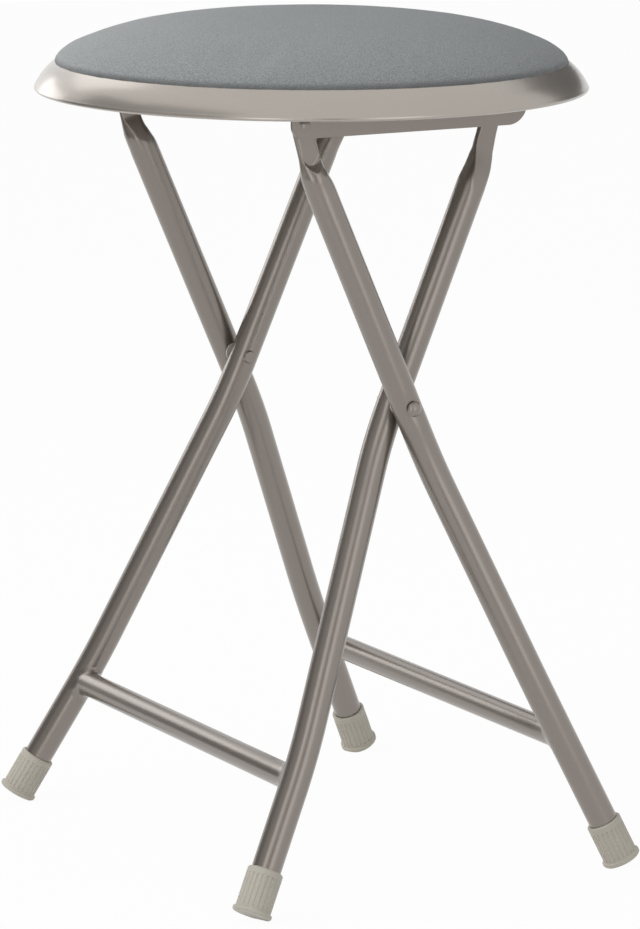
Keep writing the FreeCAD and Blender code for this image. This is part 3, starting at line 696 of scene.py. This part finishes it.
def pad_profile(looks):
    """From the axis at the top, over the shoulder, down inside the rim and back."""
    radius, crest = looks.cushion_radius, looks.crest
    points = []
    for step in range(PAD_STEPS):
        share = math.sin(math.radians(90 * step / PAD_STEPS))
        points.append((radius * share, crest + crown_height(share, looks.crown - PAD_INSET)))
    points += [(radius, crest), (radius - 0.001, crest - 0.0016), (PAD_SIDE, crest - 0.005)]
    points += [(PAD_SIDE, 0.5845), (0.187, PAN_HIGH), (0, PAN_HIGH)]
    return points


def swell(pad):
    """Let air pressure fill the pad, held where it is tucked into the pan."""
    cloth = pad.modifiers.new("swell", "CLOTH")
    cloth.settings.use_pressure = True
    cloth.settings.uniform_pressure_force = SWELL_PRESSURE
    cloth.settings.quality = 4
    cloth.settings.tension_stiffness = 40
    cloth.settings.compression_stiffness = 40
    cloth.settings.bending_stiffness = 4
    cloth.settings.vertex_group_mass = "tucked"
    cloth.settings.effector_weights.gravity = 0
    cloth.point_cache.frame_start = 1
    cloth.point_cache.frame_end = SWELL_FRAMES
    scene = bpy.context.scene
    for number in range(1, SWELL_FRAMES + 1):
        scene.frame_set(number)
    seen = pad.evaluated_get(bpy.context.evaluated_depsgraph_get())
    moved = [vertex.co.copy() for vertex in seen.data.vertices]
    pad.modifiers.remove(cloth)
    scene.frame_set(1)
    return moved


def fitted_to_crown(looks, before, shift):
    """The swollen place of a point, brought towards the taut skin and out to the rim."""
    if before.z < looks.crest - FIXED_UNDER:
        return before
    if shift.length > SWELL_CAP:
        shift = shift.normalized() * SWELL_CAP
    spot = before + shift
    radius = math.hypot(spot.x, spot.y)
    if radius < 0.001:  # at the axis, where no direction outwards exists
        return spot
    share = min(radius / looks.cushion_radius, 1.0)
    height = ramp((spot.z - looks.crest) / looks.crown)
    side = ease((share - SHOULDER) / SHOULDER_WIDTH)
    skin = looks.crest + crown_height(share, looks.crown)
    spot.z += TAUT * (1 - side) * (skin - spot.z)
    reach = looks.cushion_radius * (1 - height ** CROWN_HIGH) ** (1 / CROWN_WIDE)
    scale = 1 + side * (reach / radius - 1)
    return Vector((spot.x * scale, spot.y * scale, spot.z))


class STOOL_OT_cushion(bpy.types.Operator):
    """Make the padded seat, swollen from a smaller pad and tucked into the rim"""

    bl_idname = "stool.cushion"
    bl_label = "Cushion"

    def execute(self, context):
        looks = context.scene.stool_looks
        made = spun(pad_profile(looks), PAD_TURN_STEPS)
        pad = finished("seat_cushion", made, grained_vinyl(looks), "seat")
        remesh = pad.modifiers.new("even", "REMESH")
        remesh.mode = "VOXEL"
        remesh.voxel_size = looks.pad_voxel
        remesh.use_smooth_shade = True
        context.view_layer.objects.active = pad
        bpy.ops.object.modifier_apply(modifier=remesh.name)
        group = pad.vertex_groups.new(name="tucked")
        start = [vertex.co.copy() for vertex in pad.data.vertices]
        for vertex, spot in zip(pad.data.vertices, start):
            held = 1.0 if spot.z < looks.crest + TUCKED_OVER else 0.0
            group.add([vertex.index], held, "REPLACE")
        moved = swell(pad)
        for vertex, before, after in zip(pad.data.vertices, start, moved):
            vertex.co = fitted_to_crown(looks, before, after - before)
        pad.vertex_groups.clear()
        smooth = pad.modifiers.new("smooth", "SUBSURF")
        smooth.levels = smooth.render_levels = 1
        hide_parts("seat_cover", "seat_foam")
        return {"FINISHED"}


# CAD pieces' finishes
class STOOL_OT_finishes(bpy.types.Operator):
    """Give every carried-over piece its finish"""

    bl_idname = "stool.finishes"
    bl_label = "Finishes"

    def execute(self, context):
        looks = context.scene.stool_looks
        frame_colour, rim_colour = opaque(looks.frame_colour), opaque(looks.rim_colour)
        # no vinyl here, because the cushion replaces the one piece that has it
        finishes = {
            "frame_paint": pewter_enamel("frame_enamel", frame_colour, roughness=0.3),
            "rim_paint": pewter_enamel("rim_enamel", rim_colour, roughness=0.26),
            "rivet_paint": pewter_enamel(
                "rivet_enamel", shaded(frame_colour, 1.05), roughness=0.34),
            "pin_steel": zinc_plate("zinc_plate"),
            "washer_plastic": moulded_plastic("nylon", linear(214, 212, 204)),
            "foot_plastic": moulded_plastic("cap_plastic", opaque(looks.cap_colour)),
            "board_wood": chipboard("chipboard"),
            "foam": open_foam("open_foam"),
        }
        for part in frame["record"]["subparts"]:
            slot = part["material_slot"]
            node = frame["nodes"][part["node"]]
            if slot not in finishes:
                continue
            if not node.material_slots:
                node.data.materials.append(finishes[slot])
            for held in node.material_slots:
                held.material = finishes[slot]
        return {"FINISHED"}


# Studio
CAMERA_PLACE = (3.04746, -1.71587, 0.98416)
CAMERA_TURN = (60.503, -11.243, 0.136)  # yaw, pitch and roll in degrees
SENSOR_HEIGHT = 36
VIEW_YAW = 60.5
FLOOR_SIZE = 12
FLOOR_WHITE = 0.96
AMBIENT = 0.45

# Height that each lamp faces, its place from there (across the view, towards the camera,
# up), its width and height, and its power in watts
LAMPS = {
    "key": (0.35, (-2.1, 0.8, 1.9), (3.0, 2.6), 40),
    "fill": (0.35, (1.5, 1.8, 0.9), (1.8, 1.8), 3),
    "top": (0.35, (0, -0.2, 2.4), (2.4, 2.2), 6),
}
# The same for the cards, with their brightness; the white world's is 1
CARDS = {
    "card_left": (0.475, (-1.15, -0.1, 0), (1.1, 0.95), 0.12),
    "card_side": (1.15, (-1.15, 0.15, 0), (1.1, 0.5), 0.25),
    "card_front": (0.475, (-0.95, 0.65, 0), (1.0, 2.3), 0.4),
    "card_streak": (0.475, (0.18, 1.2, 0), (0.16, 1.2), 0.05),
    "card_back": (1.15, (0.6, -1.15, 0), (1.7, 0.9), 0.1),
    "strip_low": (0.475, (-1.1, -0.8, 0.24), (1.0, 0.5), 2.5),
    "strip_left": (0.475, (-0.38, 1.2, 0), (0.3, 1.2), 2.2),
    "strip_right": (0.475, (0.72, 1.1, 0), (0.5, 1.2), 1.8),
    "strip_back": (0.475, (-0.85, -1.1, 1.225), (1.2, 0.8), 1.9),
}


def camera_turn(yaw, pitch, roll):
    turn = Matrix.Rotation(math.radians(yaw), 4, "Z")
    turn @= Matrix.Rotation(math.radians(90 + pitch), 4, "X")
    return turn @ Matrix.Rotation(math.radians(roll), 4, "Z")


def aimed(height, offset):
    """A place round the stool in the view's own directions, and the turn to face its axis."""
    yaw = math.radians(VIEW_YAW)
    across, towards, up = offset
    way = Vector((math.cos(yaw), math.sin(yaw), 0)) * across
    way += Vector((math.sin(yaw), -math.cos(yaw), 0)) * towards
    way += Vector((0, 0, up))
    return Vector((0, 0, height)) + way, (-way).to_track_quat("-Z", "Y")


def softbox(name, height, offset, size, power):
    """A soft area lamp that reflections don't show."""
    light = bpy.data.lights.new(name, "AREA")
    light.shape = "RECTANGLE"
    light.size, light.size_y = size
    light.energy = power
    lamp = bpy.data.objects.new(name, light)
    place, turn = aimed(height, offset)
    lamp.location = place
    lamp.rotation_euler = turn.to_euler()
    lamp.visible_glossy = False
    bpy.context.scene.collection.objects.link(lamp)


def sheet(name, matrix, material):
    """A flat square of one metre, placed and stretched by a matrix."""
    made = bmesh.new()
    bmesh.ops.create_grid(made, x_segments=1, y_segments=1, size=0.5)
    bmesh.ops.transform(made, matrix=matrix, verts=made.verts)
    mesh = bpy.data.meshes.new(name)
    made.to_mesh(mesh)
    made.free()
    mesh.materials.append(material)
    piece = bpy.data.objects.new(name, mesh)
    bpy.context.scene.collection.objects.link(piece)
    return piece


def shade_card(name, height, offset, size, tone):
    """A card, seen in reflections only, that darkens or lightens one side of the metal."""
    finish = Finish(name)
    finish.show(finish.node("ShaderNodeEmission", {}, {"Color": (tone, tone, tone, 1.0)}))
    place, turn = aimed(height, offset)
    matrix = Matrix.Translation(place) @ turn.to_matrix().to_4x4() @ Matrix.Diagonal((*size, 1, 1))
    card = sheet(name, matrix, finish.material)
    card.visible_camera = card.visible_diffuse = card.visible_shadow = False


def white_floor():
    """White to the eye and in reflections; elsewhere a matt floor with a shadow."""
    finish = Finish("studio_floor")
    finish.set(Base_Color=(0.9, 0.9, 0.9, 1), Roughness=0.95, Specular_IOR_Level=0.1)
    seen = finish.seen_directly() * FLOOR_WHITE
    white = finish.node("ShaderNodeEmission", {}, {"Color": WHITE, "Strength": 1.0})
    plain = Signal(finish, finish.shader.outputs[0])
    finish.show(finish.node("ShaderNodeMixShader", {}, {0: seen, 1: plain, 2: white}))
    return finish.material


def white_world():
    """White to the eye and in reflections; elsewhere a lower, even light."""
    world = bpy.data.worlds.new("studio")
    world.use_nodes = True
    nodes = Nodes(world.node_tree)
    white = nodes.node("ShaderNodeBackground", {}, {"Color": WHITE, "Strength": 1.0})
    ambient = nodes.node("ShaderNodeBackground", {}, {"Color": WHITE, "Strength": AMBIENT})
    blend = {0: nodes.seen_directly(), 1: ambient, 2: white}
    nodes.show(nodes.node("ShaderNodeMixShader", {}, blend))
    return world


class STOOL_OT_studio(bpy.types.Operator):
    """Make the white floor and world, the lamps, the cards and the camera"""

    bl_idname = "stool.studio"
    bl_label = "Studio"

    def execute(self, context):
        scene = context.scene
        camera = bpy.data.cameras.new("camera")
        camera.sensor_fit = "VERTICAL"
        camera.sensor_height = SENSOR_HEIGHT
        camera.lens = scene.stool_looks.lens
        camera.dof.use_dof = False
        view = bpy.data.objects.new("camera", camera)
        view.matrix_world = Matrix.Translation(CAMERA_PLACE) @ camera_turn(*CAMERA_TURN)
        scene.collection.objects.link(view)
        scene.camera = view

        floor = sheet("floor", Matrix.Diagonal((FLOOR_SIZE, FLOOR_SIZE, 1, 1)), white_floor())
        scene.world = white_world()
        for name, settings in LAMPS.items():
            softbox(name, *settings)
        for name, settings in CARDS.items():
            shade_card(name, *settings)
        scene.view_settings.view_transform = "Standard"
        return {"FINISHED"}


class STOOL_PT_panel(bpy.types.Panel):
    bl_label = "Bar Stool"
    bl_idname = "STOOL_PT_panel"
    bl_space_type = "VIEW_3D"
    bl_region_type = "UI"
    bl_category = "Bar Stool"

    def draw(self, context):
        looks = context.scene.stool_looks
        for name in looks.__annotations__:
            self.layout.prop(looks, name)
        for operator in STEPS:
            self.layout.operator(operator.bl_idname)


STEPS = (STOOL_OT_studio, STOOL_OT_finishes, STOOL_OT_frame, STOOL_OT_rim, STOOL_OT_cushion)
CLASSES = (StoolLooks,) + STEPS + (STOOL_PT_panel,)


def register():
    for made in CLASSES:
        bpy.utils.register_class(made)
    bpy.types.Scene.stool_looks = bpy.props.PointerProperty(type=StoolLooks)


def unregister():
    del bpy.types.Scene.stool_looks
    for made in reversed(CLASSES):
        bpy.utils.unregister_class(made)


def main():
    register()
    bpy.ops.stool.studio()
    bpy.ops.stool.finishes()
    bpy.ops.stool.frame()
    bpy.ops.stool.rim()
    bpy.ops.stool.cushion()


if __name__ == "__main__":
    main()
